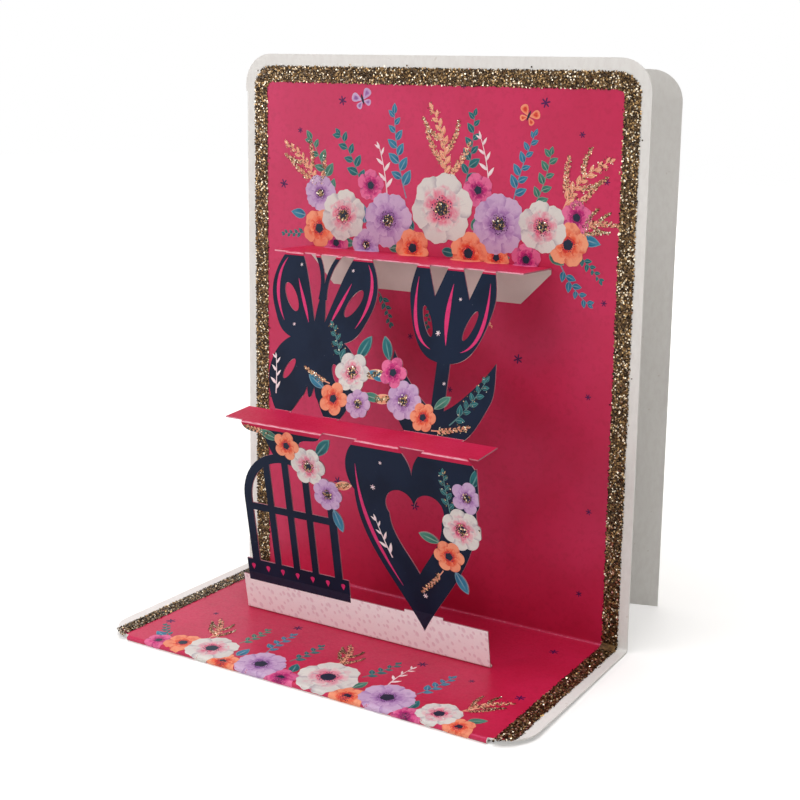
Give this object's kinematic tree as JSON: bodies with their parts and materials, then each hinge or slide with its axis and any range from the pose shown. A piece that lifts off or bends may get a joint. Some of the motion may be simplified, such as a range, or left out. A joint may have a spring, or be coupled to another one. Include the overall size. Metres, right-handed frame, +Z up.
{
  "type": "greeting card",
  "caption": "Standing pop-up greeting card: a folded cover with upright, base and rear panel, and a stepped, die-cut insert glued in front.",
  "frame": {"origin": "centre of the footprint, on the surface that the card stands on", "axes": "+X along the card to the right, -Y towards the reader, +Z up the upright"},
  "size_m": [0.13, 0.1, 0.16],
  "materials": {
    "cover_board": "matt white board, pink print on the face, gold glitter border",
    "insert_card": "satin pink and navy print on white card"
  },
  "bodies": {
    "root": {"cover": "cover_board", "pop_up": "insert_card"}
  },
  "joints": []
}
